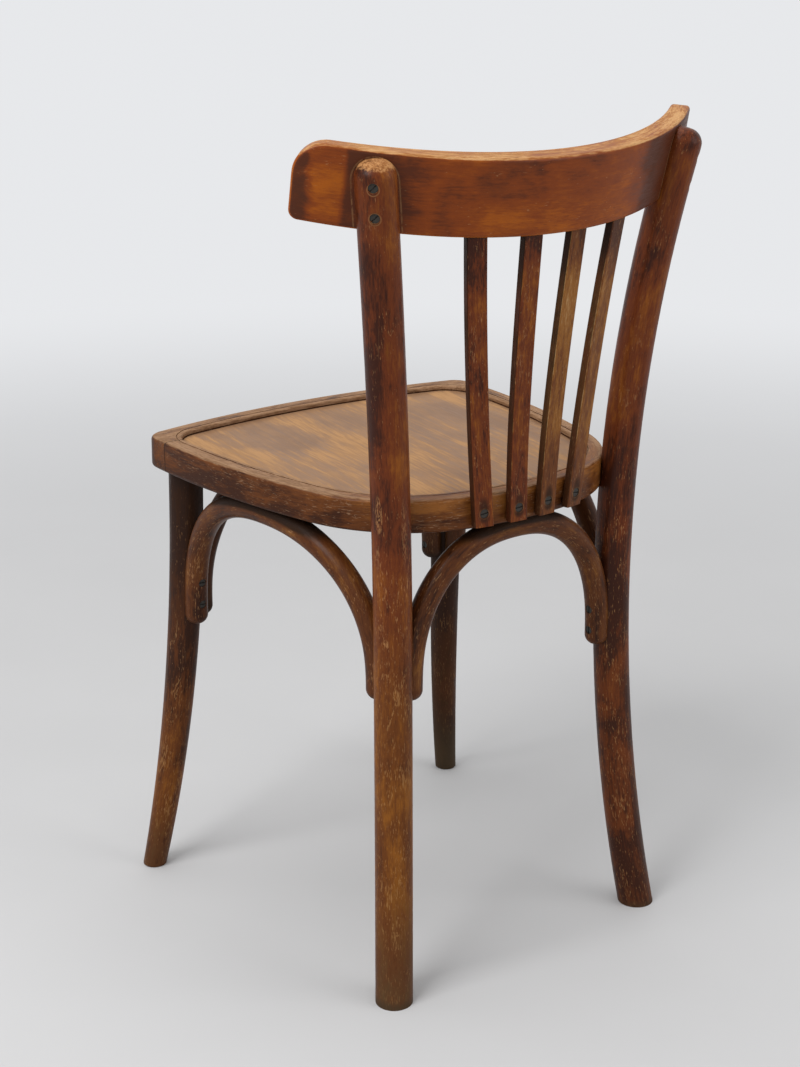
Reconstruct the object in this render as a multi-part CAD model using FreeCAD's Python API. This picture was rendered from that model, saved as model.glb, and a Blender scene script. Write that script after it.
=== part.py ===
import FreeCAD, Part
import math
import os

os.makedirs("parts", exist_ok=True)
V = FreeCAD.Vector

# A bentwood bistro chair in millimetres.
# The floor is z = 0, the sitter faces -Y, and x = 0 is the chair's plane of symmetry.

# Seat frame: a bent hoop closed by a sawn front rail
seat_height = 460.0          # top of the frame above the floor, at y = 0
seat_slope = 1.57            # degrees, the frame falls towards the back
frame_thickness = 29.7
frame_front = -195.5         # y of the front edge
frame_back = 158.5           # y of the back edge
frame_half_width = 193.5     # widest half width
frame_widest = -147.5        # y where the frame is widest
front_bow_radius = 828.0
front_corner_radius = 21.0
side_bow_radius = 754.0
back_corner_radius = 133.0
back_bow_radius = 305.0
outer_edge_round = 3.6
lip_width = 20.0             # top face from the outer edge to the seat recess
lip_round = 2.0
bead_width = 4.6             # rounded bead along the recess
quirk_width = 1.2
quirk_depth = 0.9
recess_corner_radius = 33.0
ledge_width = 12.0           # ledge that carries the seat panel
rail_joint = -137.5          # y of the joint between the front rail and the hoop
joint_dowel_diameter = 8.0
joint_dowel_length = 36.0
joint_dowel_inset = 10.0     # dowel axis from the outer side
joint_dowel_depths = (8.6, 21.0)

# Seat panel: plywood, sunk into the frame
panel_recess = 5.0
panel_thickness = 5.0
panel_edge_round = 0.8

# Back posts: one bent rod from the floor to the crest rail
post_diameter = 34.0
post_waist_side = 129.8      # half distance between the posts where they are closest
post_waist_side_height = 340.0
post_waist_back = 133.7      # y of the posts where they are furthest forward
post_waist_back_height = 355.0
post_foot_spread = 21.0      # sideways, from the waist to the floor
post_foot_rake = 29.0        # backwards, from the waist to the floor
post_top_spread = 40.0
post_top_rake = 30.5
post_bend_height = 752.0         # height at which the top spread and rake are reached
post_tops = (749.3, 755.0)       # tops of the left and the right post
post_dome_round = 13.5
post_top_flat = 3.0          # flat on the front of the post where it seats in the crest

# Front legs: round, tapered and swept out at the foot
leg_top_side = 161.9
leg_top_back = -153.9
leg_foot_spread = 31.4
leg_foot_rake = 40.4
leg_spread_power = 2.3
leg_rake_power = 1.56
leg_top_diameter = 32.8
leg_foot_diameter = 23.4
leg_tenon_diameter = 22.0
leg_tenon_length = 16.5
foot_round = 1.6

# Crest rail: a bent board that leans with the back
crest_y = 193.0              # back face at the middle of the lower edge
crest_z = 680.8
crest_lean = 11.8            # degrees
crest_radius = 317.0         # back face
crest_thickness = 22.0       # at the middle
crest_end_thickness = 16.8   # the board is planed thinner towards its ends
crest_height = 66.0
crest_end_rise = 8.0         # the lower edge rises this much at the ends
crest_top_rise = 6.0         # the upper edge rises this much at the ends
crest_half_width = 220.5
crest_shift = -6.0           # the rail sits this much off the middle, round its bend
crest_roll = 0.9             # degrees, its left end hangs lower
crest_top_corner = 26.0
crest_low_corner = 8.0
crest_edge_round = 3.4

# Back slats
slat_width = 18.6
slat_thickness = 8.0
slat_edge_round = 1.6
slat_foot_lift = 4.0              # the slats end this far above the frame's underside
slat_low_sides = (51.4, 16.4)     # half distances at the seat frame
slat_top_sides = (78.0, 24.8)     # half distances at the crest rail
slat_set_in = 4.0                 # from the crest's back face to the slat's back
slat_top_lean = 7.0               # degrees, where the slat enters the crest
slat_tenon_width = 13.0
slat_tenon_thickness = 5.6
slat_tenon_length = 14.0

# Arches that brace the legs under the seat frame
arch_diameter = 22.0
arch_tip_height = 275.0
arch_spring_height = 290.0
arch_fullness = 2.25              # exponent of the arch's rounded shape
arch_end_gap = 19.0               # from a leg's axis to the arch's axis at its end
arch_top_flat = 1.0               # taken off where the arch meets the frame
arch_insets = {"rear": 18.0, "left": 21.0, "front": 22.0}

# Fasteners
screw_head = 8.0
screw_head_height = 2.8
screw_shank = 4.2
screw_slot = 1.1
screw_sink = 1.1                  # head below the surface it enters
crest_screw_length = 34.0
crest_screw_heights = (17.0, 40.5)
crest_screw_angle = 43.0          # way the screws enter, as an angle round the bend
slat_screw_length = 26.0
slat_screw_depth = 13.5           # below the top of the frame
arch_top_screw_length = 36.0
arch_end_screw_length = 28.0
arch_end_screw_heights = {"rear": (291.0, 312.0), "front": (291.0, 312.0),
                          "left": (297.0, 320.0)}
coach_shank = 7.0
coach_head = 12.0
coach_head_height = 4.6
coach_length = 52.0
coach_depth = 20.0                # axis below the top of the frame
washer_diameter = 18.0
washer_thickness = 1.6

fit = 0.1                         # clearance round a part that seats in a cut hole

post_radius = post_diameter / 2
arch_radius = arch_diameter / 2
ledge_depth = panel_recess + panel_thickness
frame_width = lip_width + ledge_width


def placed(shape, move):
    """A copy of a shape after one more move."""
    out = shape.copy()
    out.Placement = move.multiply(shape.Placement)
    return out


def tilt(shape):
    """Move a shape from the seat frame's own axes to the chair's."""
    move = FreeCAD.Placement(V(0, 0, seat_height), FreeCAD.Rotation(V(1, 0, 0), -seat_slope))
    return placed(shape, move)


def frame_level(y, depth):
    """Height of the plane that lies a given depth under the frame's top."""
    slope = math.radians(seat_slope)
    return seat_height - y * math.tan(slope) - depth / math.cos(slope)


def block(x0, x1, y0, y1, z0, z1):
    return Part.makeBox(x1 - x0, y1 - y0, z1 - z0, V(x0, y0, z0))


def mirror(shape):
    return shape.mirror(V(0, 0, 0), V(1, 0, 0))


def spline(points):
    curve = Part.BSplineCurve()
    curve.interpolate(points)
    return curve


def rod(points, radius):
    """A round bar swept along a smooth line through the points."""
    curve = spline(points)
    start = curve.value(curve.FirstParameter)
    along = curve.tangent(curve.FirstParameter)[0]
    ring = Part.Wire([Part.Circle(start, along, radius).toShape()])
    return Part.Wire([curve.toShape()]).makePipeShell([ring], True, False)


def circles_meet(c1, r1, c2, r2, pick):
    """The crossing of two circles in plan that the pick function ranks highest."""
    gap = c2 - c1
    d = gap.Length
    a = (r1 * r1 - r2 * r2 + d * d) / (2 * d)
    h = math.sqrt(max(r1 * r1 - a * a, 0.0))
    along = gap * (1 / d)
    across = V(-along.y, along.x, 0)
    foot = c1 + along * a
    return max((foot + across * h, foot - across * h), key=pick)


def arc_between(centre, radius, start, end):
    """The arc from start to end whose middle lies on the near side."""
    middle = (start + end) * 0.5 - centre
    middle.normalize()
    return Part.Arc(start, centre + middle * radius, end).toShape()


def toward(a, b, distance):
    step = b - a
    step.normalize()
    return a + step * distance


def frame_outline(inset, corner_radius):
    """The seat frame's plan, set in from its outer edge, as tangent arcs."""
    front_r = front_bow_radius - inset
    side_r = side_bow_radius - inset
    back_r = back_bow_radius - inset
    turn_r = back_corner_radius - inset
    front_c = V(0, frame_front + front_bow_radius, 0)
    side_c = V(frame_half_width - side_bow_radius, frame_widest, 0)
    back_c = V(0, frame_back - back_bow_radius, 0)
    corner_c = circles_meet(front_c, front_r - corner_radius, side_c, side_r - corner_radius, lambda p: -p.y)
    turn_c = circles_meet(side_c, side_r - turn_r, back_c, back_r - turn_r, lambda p: p.y)
    t1 = toward(front_c, corner_c, front_r)
    t2 = toward(side_c, corner_c, side_r)
    t3 = toward(side_c, turn_c, side_r)
    t4 = toward(back_c, turn_c, back_r)
    half = [arc_between(corner_c, corner_radius, t1, t2),
            arc_between(side_c, side_r, t2, t3),
            arc_between(turn_c, turn_r, t3, t4)]
    other = [mirror(e) for e in half]
    front = Part.Arc(V(-t1.x, t1.y, 0), V(0, frame_front + inset, 0), t1).toShape()
    back = Part.Arc(t4, V(0, frame_back - inset, 0), V(-t4.x, t4.y, 0)).toShape()
    edges = Part.__sortEdges__([front, back] + half + other)
    return Part.Wire(edges)


def slab(outline, top, bottom):
    """A plate with the given plan between two levels of the seat frame's own z."""
    face = Part.Face(outline)
    face.translate(V(0, 0, bottom))
    return face.extrude(V(0, 0, top - bottom))


def edges_on(shape, outline, level):
    """The shape's edges that follow an outline at a level."""
    path = outline.copy()
    path.translate(V(0, 0, level))
    found = []
    for edge in shape.Edges:
        middle = edge.valueAt((edge.FirstParameter + edge.LastParameter) / 2)
        ends = [v.Point for v in edge.Vertexes] + [middle]
        if all(path.distToShape(Part.Vertex(p))[0] < 0.01 for p in ends):
            found.append(edge)
    return found


def frame_blank():
    """The whole seat frame with its recess, ledge and bead, before it is parted."""
    outer = frame_outline(0, front_corner_radius)
    body = slab(outer, 0, -frame_thickness)
    rims = edges_on(body, outer, 0) + edges_on(body, outer, -frame_thickness)
    body = body.makeFillet(outer_edge_round, rims)
    recess = frame_outline(lip_width, recess_corner_radius)
    opening = frame_outline(frame_width, recess_corner_radius - ledge_width)
    body = body.cut(slab(recess, 1, -ledge_depth))
    body = body.cut(slab(opening, 1, -frame_thickness - 1))
    body = body.makeFillet(lip_round, edges_on(body, recess, 0))
    quirk_inner = lip_width - bead_width
    quirk = slab(frame_outline(quirk_inner - quirk_width, recess_corner_radius + bead_width + quirk_width),
                 1, -quirk_depth)
    quirk = quirk.cut(slab(frame_outline(quirk_inner, recess_corner_radius + bead_width), 2, -quirk_depth - 1))
    return body.cut(quirk)


def seat_panel():
    """The plywood panel, dropped into the recess."""
    outline = frame_outline(lip_width + fit, recess_corner_radius - fit)
    panel = slab(outline, -panel_recess, -ledge_depth)
    return tilt(panel.makeFillet(panel_edge_round, edges_on(panel, outline, -panel_recess)))


def largest(shape):
    return max(shape.Solids, key=lambda s: s.Volume)


def under_frame(shape):
    """The part of a shape below the frame's underside."""
    return shape.cut(tilt(block(-400, 400, -400, 400, -frame_thickness, 200)))


def post_axis(z):
    """A point on the left back post's bent centre line."""
    if z < post_waist_side_height:
        x = post_waist_side + post_foot_spread * (1 - z / post_waist_side_height) ** 2
    else:
        rise = (z - post_waist_side_height) / (post_bend_height - post_waist_side_height)
        x = post_waist_side + post_top_spread * rise ** 2
    if z < post_waist_back_height:
        y = post_waist_back + post_foot_rake * (1 - z / post_waist_back_height) ** 2
    else:
        rise = (z - post_waist_back_height) / (post_bend_height - post_waist_back_height)
        y = post_waist_back + post_top_rake * rise ** 2.2
    return V(x, y, z)


def post_rod(radius, top):
    """The bent rod with a domed head, flat on the floor."""
    low = -12.0
    steps = 12
    points = [post_axis(low + (top - low) * i / steps) for i in range(steps + 1)]
    body = rod(points, radius)
    head = [e for e in body.Edges if e.BoundBox.ZMin > top - radius]
    body = body.makeFillet(post_dome_round, head)
    return body.cut(block(-400, 400, -400, 400, -100, 0))


def leg_axis(z):
    """A point on the left front leg's centre line."""
    top = frame_level(leg_top_back, frame_thickness)
    down = max((top - z) / top, 0.0)
    x = leg_top_side + leg_foot_spread * down ** leg_spread_power
    y = leg_top_back - leg_foot_rake * down ** leg_rake_power
    return V(x, y, z)


def leg_radius(z):
    top = frame_level(leg_top_back, frame_thickness)
    down = max((top - z) / top, 0.0)
    return (leg_top_diameter - (leg_top_diameter - leg_foot_diameter) * down ** 2) / 2


def leg_blank(extra):
    """The tapered round of a front leg, running past the frame and the floor."""
    rings = []
    for z in (-10, 60, 130, 200, 270, 340, 400, 445):
        along = leg_axis(z + 2) - leg_axis(z - 2)
        ring = Part.Circle(leg_axis(z), along, leg_radius(z) + extra).toShape()
        rings.append(Part.Wire([ring]))
    return Part.makeLoft(rings, True)


def leg_tenon(extra):
    """The round tenon, square to the frame's underside."""
    low = V(leg_top_side, leg_top_back, -frame_thickness - 2)
    return tilt(Part.makeCylinder(leg_tenon_diameter / 2 + extra, leg_tenon_length + 2 + extra, low))


def foot_edges(shape):
    return [e for e in shape.Edges if e.BoundBox.ZMax < 0.01]


def front_leg():
    leg = under_frame(leg_blank(0)).cut(block(-400, 400, -400, 400, -100, 0))
    leg = leg.makeFillet(foot_round, foot_edges(leg))
    return leg.fuse(leg_tenon(0)).removeSplitter()


def lean(shape):
    """Move a shape from the crest rail's own axes to the chair's."""
    move = FreeCAD.Placement(V(0, crest_y, crest_z), FreeCAD.Rotation(V(1, 0, 0), -crest_lean))
    return placed(shape, move)


def crest_point(angle, radius, height):
    """A point in the chair's axes, by angle round the bend, radius and height up the board."""
    a = math.radians(angle)
    l = math.radians(crest_lean)
    across = radius * math.cos(a) - crest_radius
    y = crest_y + across * math.cos(l) + height * math.sin(l)
    z = crest_z - across * math.sin(l) + height * math.cos(l)
    return V(radius * math.sin(a), y, z)


def crest_out(angle):
    """The direction out of the crest's back face."""
    step = crest_point(angle, crest_radius + 1, 0) - crest_point(angle, crest_radius, 0)
    step.normalize()
    return step


def crest_waste(level, rise, limit):
    """What is sawn off beyond an edge that curves up by a rise towards the board's ends."""
    half = crest_half_width + 1
    left, right = V(-half, -400, level + rise), V(half, -400, level + rise)
    low_left, low_right = V(-half, -400, limit), V(half, -400, limit)
    sweep = Part.Arc(left, V(0, -400, level), right).toShape()
    rest = [Part.makeLine(right, low_right), Part.makeLine(low_right, low_left), Part.makeLine(low_left, left)]
    return Part.Face(Part.Wire([sweep] + rest)).extrude(V(0, 600, 0))


def crest_blank():
    """The bent board with rounded corners and edges, before its joints are cut."""
    end = math.asin(crest_half_width / crest_radius)
    rear = crest_radius
    front = crest_radius - crest_thickness
    thin = crest_radius - crest_end_thickness

    def at(angle, radius):
        return V(radius * math.sin(angle), radius * math.cos(angle) - crest_radius, 0)

    back_edge = Part.Arc(at(-end, rear), at(0, rear), at(end, rear)).toShape()
    front_edge = Part.Arc(at(end, thin), at(0, front), at(-end, thin)).toShape()
    sides = [Part.makeLine(at(end, rear), at(end, thin)), Part.makeLine(at(-end, thin), at(-end, rear))]
    plan = Part.Face(Part.Wire([back_edge, sides[0], front_edge, sides[1]]))
    board = plan.extrude(V(0, 0, crest_height + crest_top_rise))
    board = board.cut(crest_waste(0, crest_end_rise, -50))
    board = board.cut(crest_waste(crest_height, crest_top_rise, crest_height + 50))
    top = [e for e in board.Edges if is_across(e) and e.CenterOfMass.z > crest_height / 2]
    board = board.makeFillet(crest_top_corner, top)
    low = [e for e in board.Edges if is_across(e) and e.CenterOfMass.z < crest_end_rise + 1]
    board = board.makeFillet(crest_low_corner, low)
    rims = [e for e in board.Edges if not is_across(e)]
    board = board.makeFillet(crest_edge_round, rims)
    board.rotate(V(0, -crest_radius, 0), V(0, 0, 1), -math.degrees(crest_shift / crest_radius))
    board.rotate(V(0, 0, crest_height / 2), V(0, 1, 0), crest_roll)
    return lean(board)


def is_across(edge):
    """True for an edge that runs through the board's thickness."""
    box = edge.BoundBox
    return edge.Length < crest_thickness + 1 and box.ZLength < 2 and box.YLength > 1


def post_angle():
    """Where the post crosses the crest, as an angle round its bend."""
    axis = post_axis(crest_z + crest_height * 0.6)
    centre = crest_point(0, 0, crest_height * 0.6)
    return math.degrees(math.atan2(axis.x, (axis.y - centre.y) / math.cos(math.radians(crest_lean))))


def post_offset():
    """How far the post's axis lies behind the crest's back face."""
    angle = post_angle()
    face = crest_point(angle, crest_radius, crest_height * 0.6)
    return (post_axis(face.z) - face).dot(crest_out(angle))


def post_seat_block():
    """The space in front of the flat on the head of the left post."""
    depth = post_radius - post_top_flat - post_offset()
    front = crest_radius - depth
    box = block(-40, 40, front - 40, front, crest_end_rise / 2 - 1, crest_height + 40)
    box.rotate(V(0, 0, 0), V(0, 0, 1), -post_angle())
    box.translate(V(0, -crest_radius, 0))
    return lean(box)


def back_post(top):
    """A post built on the left side, with its head at a height."""
    return post_rod(post_radius, top).cut(post_seat_block())


def post_room(top):
    """A post with its clearance, for the joints that are cut round it."""
    return post_rod(post_radius + fit, top + fit).cut(post_seat_block())


def aim(shape, point, direction):
    """Place a shape built on -Z so that it starts at a point and runs in a direction."""
    return placed(shape, FreeCAD.Placement(point, FreeCAD.Rotation(V(0, 0, -1), direction)))


def wood_screw(length):
    """A slotted countersunk screw, head at the origin and point down -Z."""
    rim = 0.4
    neck = -screw_head_height
    taper = -length * 0.7
    profile = Part.makePolygon([V(0, 0, 0), V(screw_head / 2, 0, 0), V(screw_head / 2, 0, -rim),
                                V(screw_shank / 2, 0, neck), V(screw_shank / 2, 0, taper),
                                V(0, 0, -length), V(0, 0, 0)])
    body = Part.Face(profile).revolve(V(0, 0, 0), V(0, 0, 1), 360)
    slot = block(-screw_head, screw_head, -screw_slot / 2, screw_slot / 2, -screw_slot, 1)
    return body.cut(slot)


def screw_hole(length):
    """The room a countersunk screw takes up, with its sink above the head."""
    wide = screw_head / 2 + fit
    thin = screw_shank / 2 + fit
    profile = Part.makePolygon([V(0, 0, 8), V(wide, 0, 8), V(wide, 0, -0.4), V(thin, 0, -screw_head_height),
                                V(thin, 0, -length * 0.7), V(0, 0, -length - 2 * fit), V(0, 0, 8)])
    return Part.Face(profile).revolve(V(0, 0, 0), V(0, 0, 1), 360)


def coach_screw():
    """A hexagon-headed screw, the head's underside at the origin and point down -Z."""
    corners = [V(coach_head / math.sqrt(3), 0, 0)]
    for i in range(1, 7):
        a = math.radians(60 * i)
        corners.append(V(math.cos(a), math.sin(a), 0) * (coach_head / math.sqrt(3)))
    head = Part.Face(Part.makePolygon(corners)).extrude(V(0, 0, coach_head_height))
    shank = Part.makeCylinder(coach_shank / 2, coach_length * 0.8, V(0, 0, 0), V(0, 0, -1))
    tip = Part.makeCone(coach_shank / 2, 1.0, coach_length * 0.2, V(0, 0, -coach_length * 0.8), V(0, 0, -1))
    return head.fuse(shank).fuse(tip)


def coach_hole():
    shank = Part.makeCylinder(coach_shank / 2 + fit, coach_length * 0.8 + 30 + fit, V(0, 0, 30), V(0, 0, -1))
    tip = Part.makeCone(coach_shank / 2 + fit, 1.0 + fit, coach_length * 0.2,
                        V(0, 0, -coach_length * 0.8 - fit), V(0, 0, -1))
    seat = Part.makeCylinder(washer_diameter / 2 + 2 * fit, washer_thickness + 12, V(0, 0, -washer_thickness))
    return shank.fuse(tip).fuse(seat)


def washer():
    ring = Part.makeCylinder(washer_diameter / 2, washer_thickness, V(0, 0, 0))
    return ring.cut(Part.makeCylinder(coach_shank / 2 + fit, washer_thickness + 2, V(0, 0, -1)))


def frame_edge_near(point):
    """The nearest point of the frame's outer edge in plan, and the way out from it."""
    outline = frame_outline(0, front_corner_radius)
    near = outline.distToShape(Part.Vertex(V(point.x, point.y, 0)))[1][0][0]
    out = V(point.x, point.y, 0) - near
    if out.Length < 1e-6:
        out = V(near.x, near.y, 0)
    out.normalize()
    return near, out


def coach_place():
    """Where the left coach screw bears on the frame's inner side, and the way it runs."""
    axis = post_axis(frame_level(post_waist_back, coach_depth))
    near, out = frame_edge_near(axis)
    inner = near - out * (frame_width + washer_thickness)
    start = tilt(Part.Vertex(V(inner.x, inner.y, -coach_depth))).Point
    return start, out


def arch_ends(name):
    """Plan points of an arch's two ends and of its crown, for the left or middle arches."""
    post = post_axis(arch_spring_height)
    leg = leg_axis(arch_spring_height)
    inset = arch_insets[name]
    if name == "rear":
        a, b = V(post.x, post.y, 0), V(-post.x, post.y, 0)
        crown = V(0, frame_back - inset, 0)
    elif name == "front":
        a, b = V(leg.x, leg.y, 0), V(-leg.x, leg.y, 0)
        crown = V(0, frame_front + inset, 0)
    else:
        a, b = V(post.x, post.y, 0), V(leg.x, leg.y, 0)
        middle = (a + b) * 0.5
        near, out = frame_edge_near(V(frame_half_width + 50, middle.y, 0))
        crown = V(near.x - inset, middle.y, 0)
    start = toward(a, b, arch_end_gap)
    end = toward(b, a, arch_end_gap)
    return start, end, crown


def arch_point(name, share, along):
    """A point on an arch's centre line, by its share of the rise and its half-span factor."""
    start, end, crown = arch_ends(name)
    middle = (start + end) * 0.5
    place = middle + (end - start) * (along / 2)
    place = place + (crown - middle) * (1 - abs(along) ** 2.0)
    top = frame_level(place.y, frame_thickness) - arch_radius + arch_top_flat
    return V(place.x, place.y, arch_spring_height + (top - arch_spring_height) * share)


def arch_axis(name):
    """Points along an arch's centre line: straight ends, then a full rounded shape."""
    points = [arch_point(name, 0, -1) - V(0, 0, arch_spring_height - arch_tip_height)]
    steps = 16
    for i in range(steps + 1):
        t = math.pi * i / steps
        along = -math.copysign(abs(math.cos(t)) ** (2 / arch_fullness), math.cos(t))
        share = abs(math.sin(t)) ** (2 / arch_fullness)
        points.append(arch_point(name, share, along))
    points.append(arch_point(name, 0, 1) - V(0, 0, arch_spring_height - arch_tip_height))
    return points


def arch_blank(name):
    """The bent rod of an arch, its ends rounded and its crown flat against the frame."""
    body = largest(under_frame(rod(arch_axis(name), arch_radius)))
    tips = [e for e in body.Edges if e.BoundBox.ZMax < arch_tip_height + 2]
    return body.makeFillet(arch_radius * 0.9, tips)


def arch_screw_places(name):
    """Start and direction of the four screws through the ends of an arch."""
    places = []
    start, end, crown = arch_ends(name)
    for side, tip in ((-1, start), (1, end)):
        for z in arch_end_screw_heights[name]:
            top = arch_point(name, 1, 0).z
            share = (z - arch_spring_height) / (top - arch_spring_height)
            reach = (1 - max(share, 0) ** arch_fullness) ** (1 / arch_fullness)
            centre = arch_point(name, share, side * reach)
            if name == "front" or (name == "left" and side == 1):
                axis = leg_axis(z)
            else:
                axis = post_axis(z)
            if name in ("rear", "front") and side == 1:
                axis = V(-axis.x, axis.y, axis.z)
            centre = V(centre.x, centre.y, z)
            way = axis - centre
            way.z = 0
            way.normalize()
            places.append((centre - way * (arch_radius - screw_sink), way))
    return places


def arch_top_place(name):
    crown = arch_point(name, 1, 0)
    up = V(0, math.sin(math.radians(seat_slope)), math.cos(math.radians(seat_slope)))
    return crown - up * (arch_radius - screw_sink), up


def crest_screw_places():
    """Start and direction of the two screws through the head of the left post."""
    places = []
    out = crest_out(crest_screw_angle)
    for height in crest_screw_heights:
        face = crest_point(post_angle(), crest_radius, height)
        axis = post_axis(face.z)
        for step in range(3):
            face = axis - out * (axis - face).dot(out)
            axis = post_axis(face.z)
        places.append((axis + out * (post_radius - screw_sink), out * -1))
    return places


def slat_side(index, z):
    """Half distance of a slat's centre line from the middle, at a height."""
    low = frame_level(frame_back, frame_thickness)
    share = (z - low) / (crest_z - low)
    return slat_low_sides[index] + (slat_top_sides[index] - slat_low_sides[index]) * share


def frame_back_at(x):
    """y of the frame's back edge at a distance from the middle."""
    return frame_back - back_bow_radius + math.sqrt(back_bow_radius ** 2 - x ** 2)


def crest_back_at(x):
    """y of the crest's back face at its lower edge."""
    drop = crest_radius - math.sqrt(crest_radius ** 2 - x ** 2)
    return crest_y - drop * math.cos(math.radians(crest_lean))


def slat_station(index, share):
    """Centre of a slat's back face, its up direction and its out direction."""
    low = frame_level(frame_back, frame_thickness)
    high = crest_z + 10
    slope_low = math.tan(math.radians(seat_slope))
    slope_top = math.tan(math.radians(slat_top_lean))
    rise = high - low
    y_low = frame_back_at(slat_side(index, low)) + slat_thickness + fit + 0.3
    y_top = crest_back_at(slat_side(index, crest_z)) - slat_set_in + 10 * slope_top
    gap = y_top - y_low

    def at(t):
        hold = frame_thickness / rise
        s = max(t - hold, 0) / (1 - hold)
        base = y_low + slope_low * rise * t
        rest = y_top - (y_low + slope_low * rise)
        bend = (slope_top - slope_low) * rise * (1 - hold)
        y = base + (3 * rest - bend) * s ** 2 + (bend - 2 * rest) * s ** 3
        z = low + rise * t
        return V(slat_side(index, z), y, z)

    up = at(share + 0.01) - at(share - 0.01)
    up.normalize()
    angle_low = math.asin(slat_low_sides[index] / back_bow_radius)
    angle_top = math.asin(slat_top_sides[index] / crest_radius)
    angle = angle_low + (angle_top - angle_low) * max(min(share, 1), 0)
    out = V(math.sin(angle), math.cos(angle), 0)
    out = out - up * out.dot(up)
    out.normalize()
    return at(share), up, out


def slat_section(index, share, width, thickness, radius, depth):
    """A rounded rectangle square to the slat, its back a given depth inside the slat's."""
    centre, up, out = slat_station(index, share)
    side = up.cross(out)
    side.normalize()
    a = width / 2
    corners = []
    for su, sv in ((1, 0), (-1, 0), (-1, -1), (1, -1)):
        corners.append(centre + side * (a * su) + out * (-depth + thickness * sv))
    edges = []
    count = len(corners)
    cut = radius * (1 - math.sqrt(0.5))
    for i in range(count):
        here, ahead, behind = corners[i], corners[(i + 1) % count], corners[i - 1]
        start = toward(here, behind, radius)
        end = toward(here, ahead, radius)
        middle = here + (start + end - here * 2) * (cut / radius)
        edges.append(Part.Arc(start, middle, end).toShape())
        edges.append(Part.makeLine(end, toward(ahead, here, radius)))
    return Part.Wire(edges)


def slat_blank(index):
    shares = (-0.02, 0.06, 0.2, 0.4, 0.6, 0.8, 1.04)
    rings = [slat_section(index, s, slat_width, slat_thickness, slat_edge_round, 0) for s in shares]
    body = Part.makeLoft(rings, True)
    return body.cut(tilt(block(-400, 400, -400, 400, -frame_thickness - 80, slat_foot_lift - frame_thickness)))


def slat_tenon(index, extra):
    """The slat's tenon, which enters the crest's lower edge."""
    centre, up, out = slat_station(index, 1.0)
    side = up.cross(out)
    side.normalize()
    width = slat_tenon_width + 2 * extra
    thick = slat_tenon_thickness + 2 * extra
    inset = (slat_thickness - slat_tenon_thickness) / 2 - extra
    low = centre - up * 14 + side * (width / 2) - out * inset
    corners = [low, low - side * width, low - side * width - out * thick, low - out * thick, low]
    return Part.Face(Part.makePolygon(corners)).extrude(up * (slat_tenon_length + 8 + extra))


def slat(index, crest):
    body = largest(slat_blank(index).cut(crest))
    return body.fuse(slat_tenon(index, 0)).removeSplitter()


def slat_screw_place(index):
    level = frame_level(frame_back, slat_screw_depth)
    low = frame_level(frame_back, frame_thickness)
    centre, up, out = slat_station(index, (level - low) / (crest_z + 10 - low))
    return centre - out * 0.4, out * -1


def joint_dowels(extra):
    """The dowels across the left joint between the front rail and the hoop."""
    side_c = frame_half_width - side_bow_radius
    x = side_c + math.sqrt(side_bow_radius ** 2 - (rail_joint - frame_widest) ** 2) - joint_dowel_inset
    pins = []
    for depth in joint_dowel_depths:
        base = V(x, rail_joint - joint_dowel_length / 2 - extra, -depth)
        pin = Part.makeCylinder(joint_dowel_diameter / 2 + extra, joint_dowel_length + 2 * extra, base, V(0, 1, 0))
        pins.append(tilt(pin))
    return pins


def both(shapes):
    return list(shapes) + [mirror(s) for s in shapes]


def cut_all(shape, tools):
    for tool in tools:
        shape = shape.cut(tool)
    return shape


nodes = {}

crest = crest_blank()
posts = [back_post(top) for top in post_tops]
rooms = [post_room(post_tops[0]), mirror(post_room(post_tops[1]))]
leg = front_leg()

arches = {name: arch_blank(name) for name in ("rear", "front", "left")}
arches["rear"] = cut_all(arches["rear"], rooms)
arches["front"] = cut_all(arches["front"], both([leg_blank(fit)]))
arches["left"] = cut_all(arches["left"], [rooms[0], leg_blank(fit)])

left_slats = [slat(i, crest) for i in range(len(slat_low_sides))]
right_slats = [slat(i, mirror(crest)) for i in range(len(slat_low_sides))]

crest_places = crest_screw_places()
slat_places = [slat_screw_place(i) for i in range(len(left_slats))]
top_places = {name: arch_top_place(name) for name in arches}
end_places = {name: arch_screw_places(name) for name in arches}
coach_start, coach_way = coach_place()

crest_holes = [aim(screw_hole(crest_screw_length), p, d) for p, d in crest_places]
slat_holes = [aim(screw_hole(slat_screw_length), p, d) for p, d in slat_places]
top_holes = {n: aim(screw_hole(arch_top_screw_length), p, d) for n, (p, d) in top_places.items()}
end_holes = {n: [aim(screw_hole(arch_end_screw_length), p, d) for p, d in end_places[n]] for n in arches}
coach_room = aim(coach_hole(), coach_start, coach_way)

crest = cut_all(crest, rooms + both(crest_holes))
for i in range(len(left_slats)):
    crest = cut_all(crest, both([slat_tenon(i, fit)]))
nodes["crest_rail"] = crest

rear_end_holes = end_holes["rear"][:2]
post_holes = crest_holes + rear_end_holes + end_holes["left"][:2] + [coach_room]
nodes["back_post_left"] = cut_all(posts[0], post_holes)
nodes["back_post_right"] = mirror(cut_all(posts[1], post_holes))

leg = cut_all(leg, end_holes["front"][:2] + end_holes["left"][2:])
nodes["front_leg_left"] = leg
nodes["front_leg_right"] = mirror(leg)

for i, word in enumerate(("outer", "inner")):
    nodes["slat_" + word + "_left"] = left_slats[i].cut(slat_holes[i])
    nodes["slat_" + word + "_right"] = mirror(right_slats[i].cut(slat_holes[i]))

for name, arch in arches.items():
    arches[name] = cut_all(arch, [top_holes[name]] + end_holes[name])
nodes["arch_rear"] = arches["rear"]
nodes["arch_front"] = arches["front"]
nodes["arch_left"] = arches["left"]
nodes["arch_right"] = mirror(arches["left"])

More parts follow.
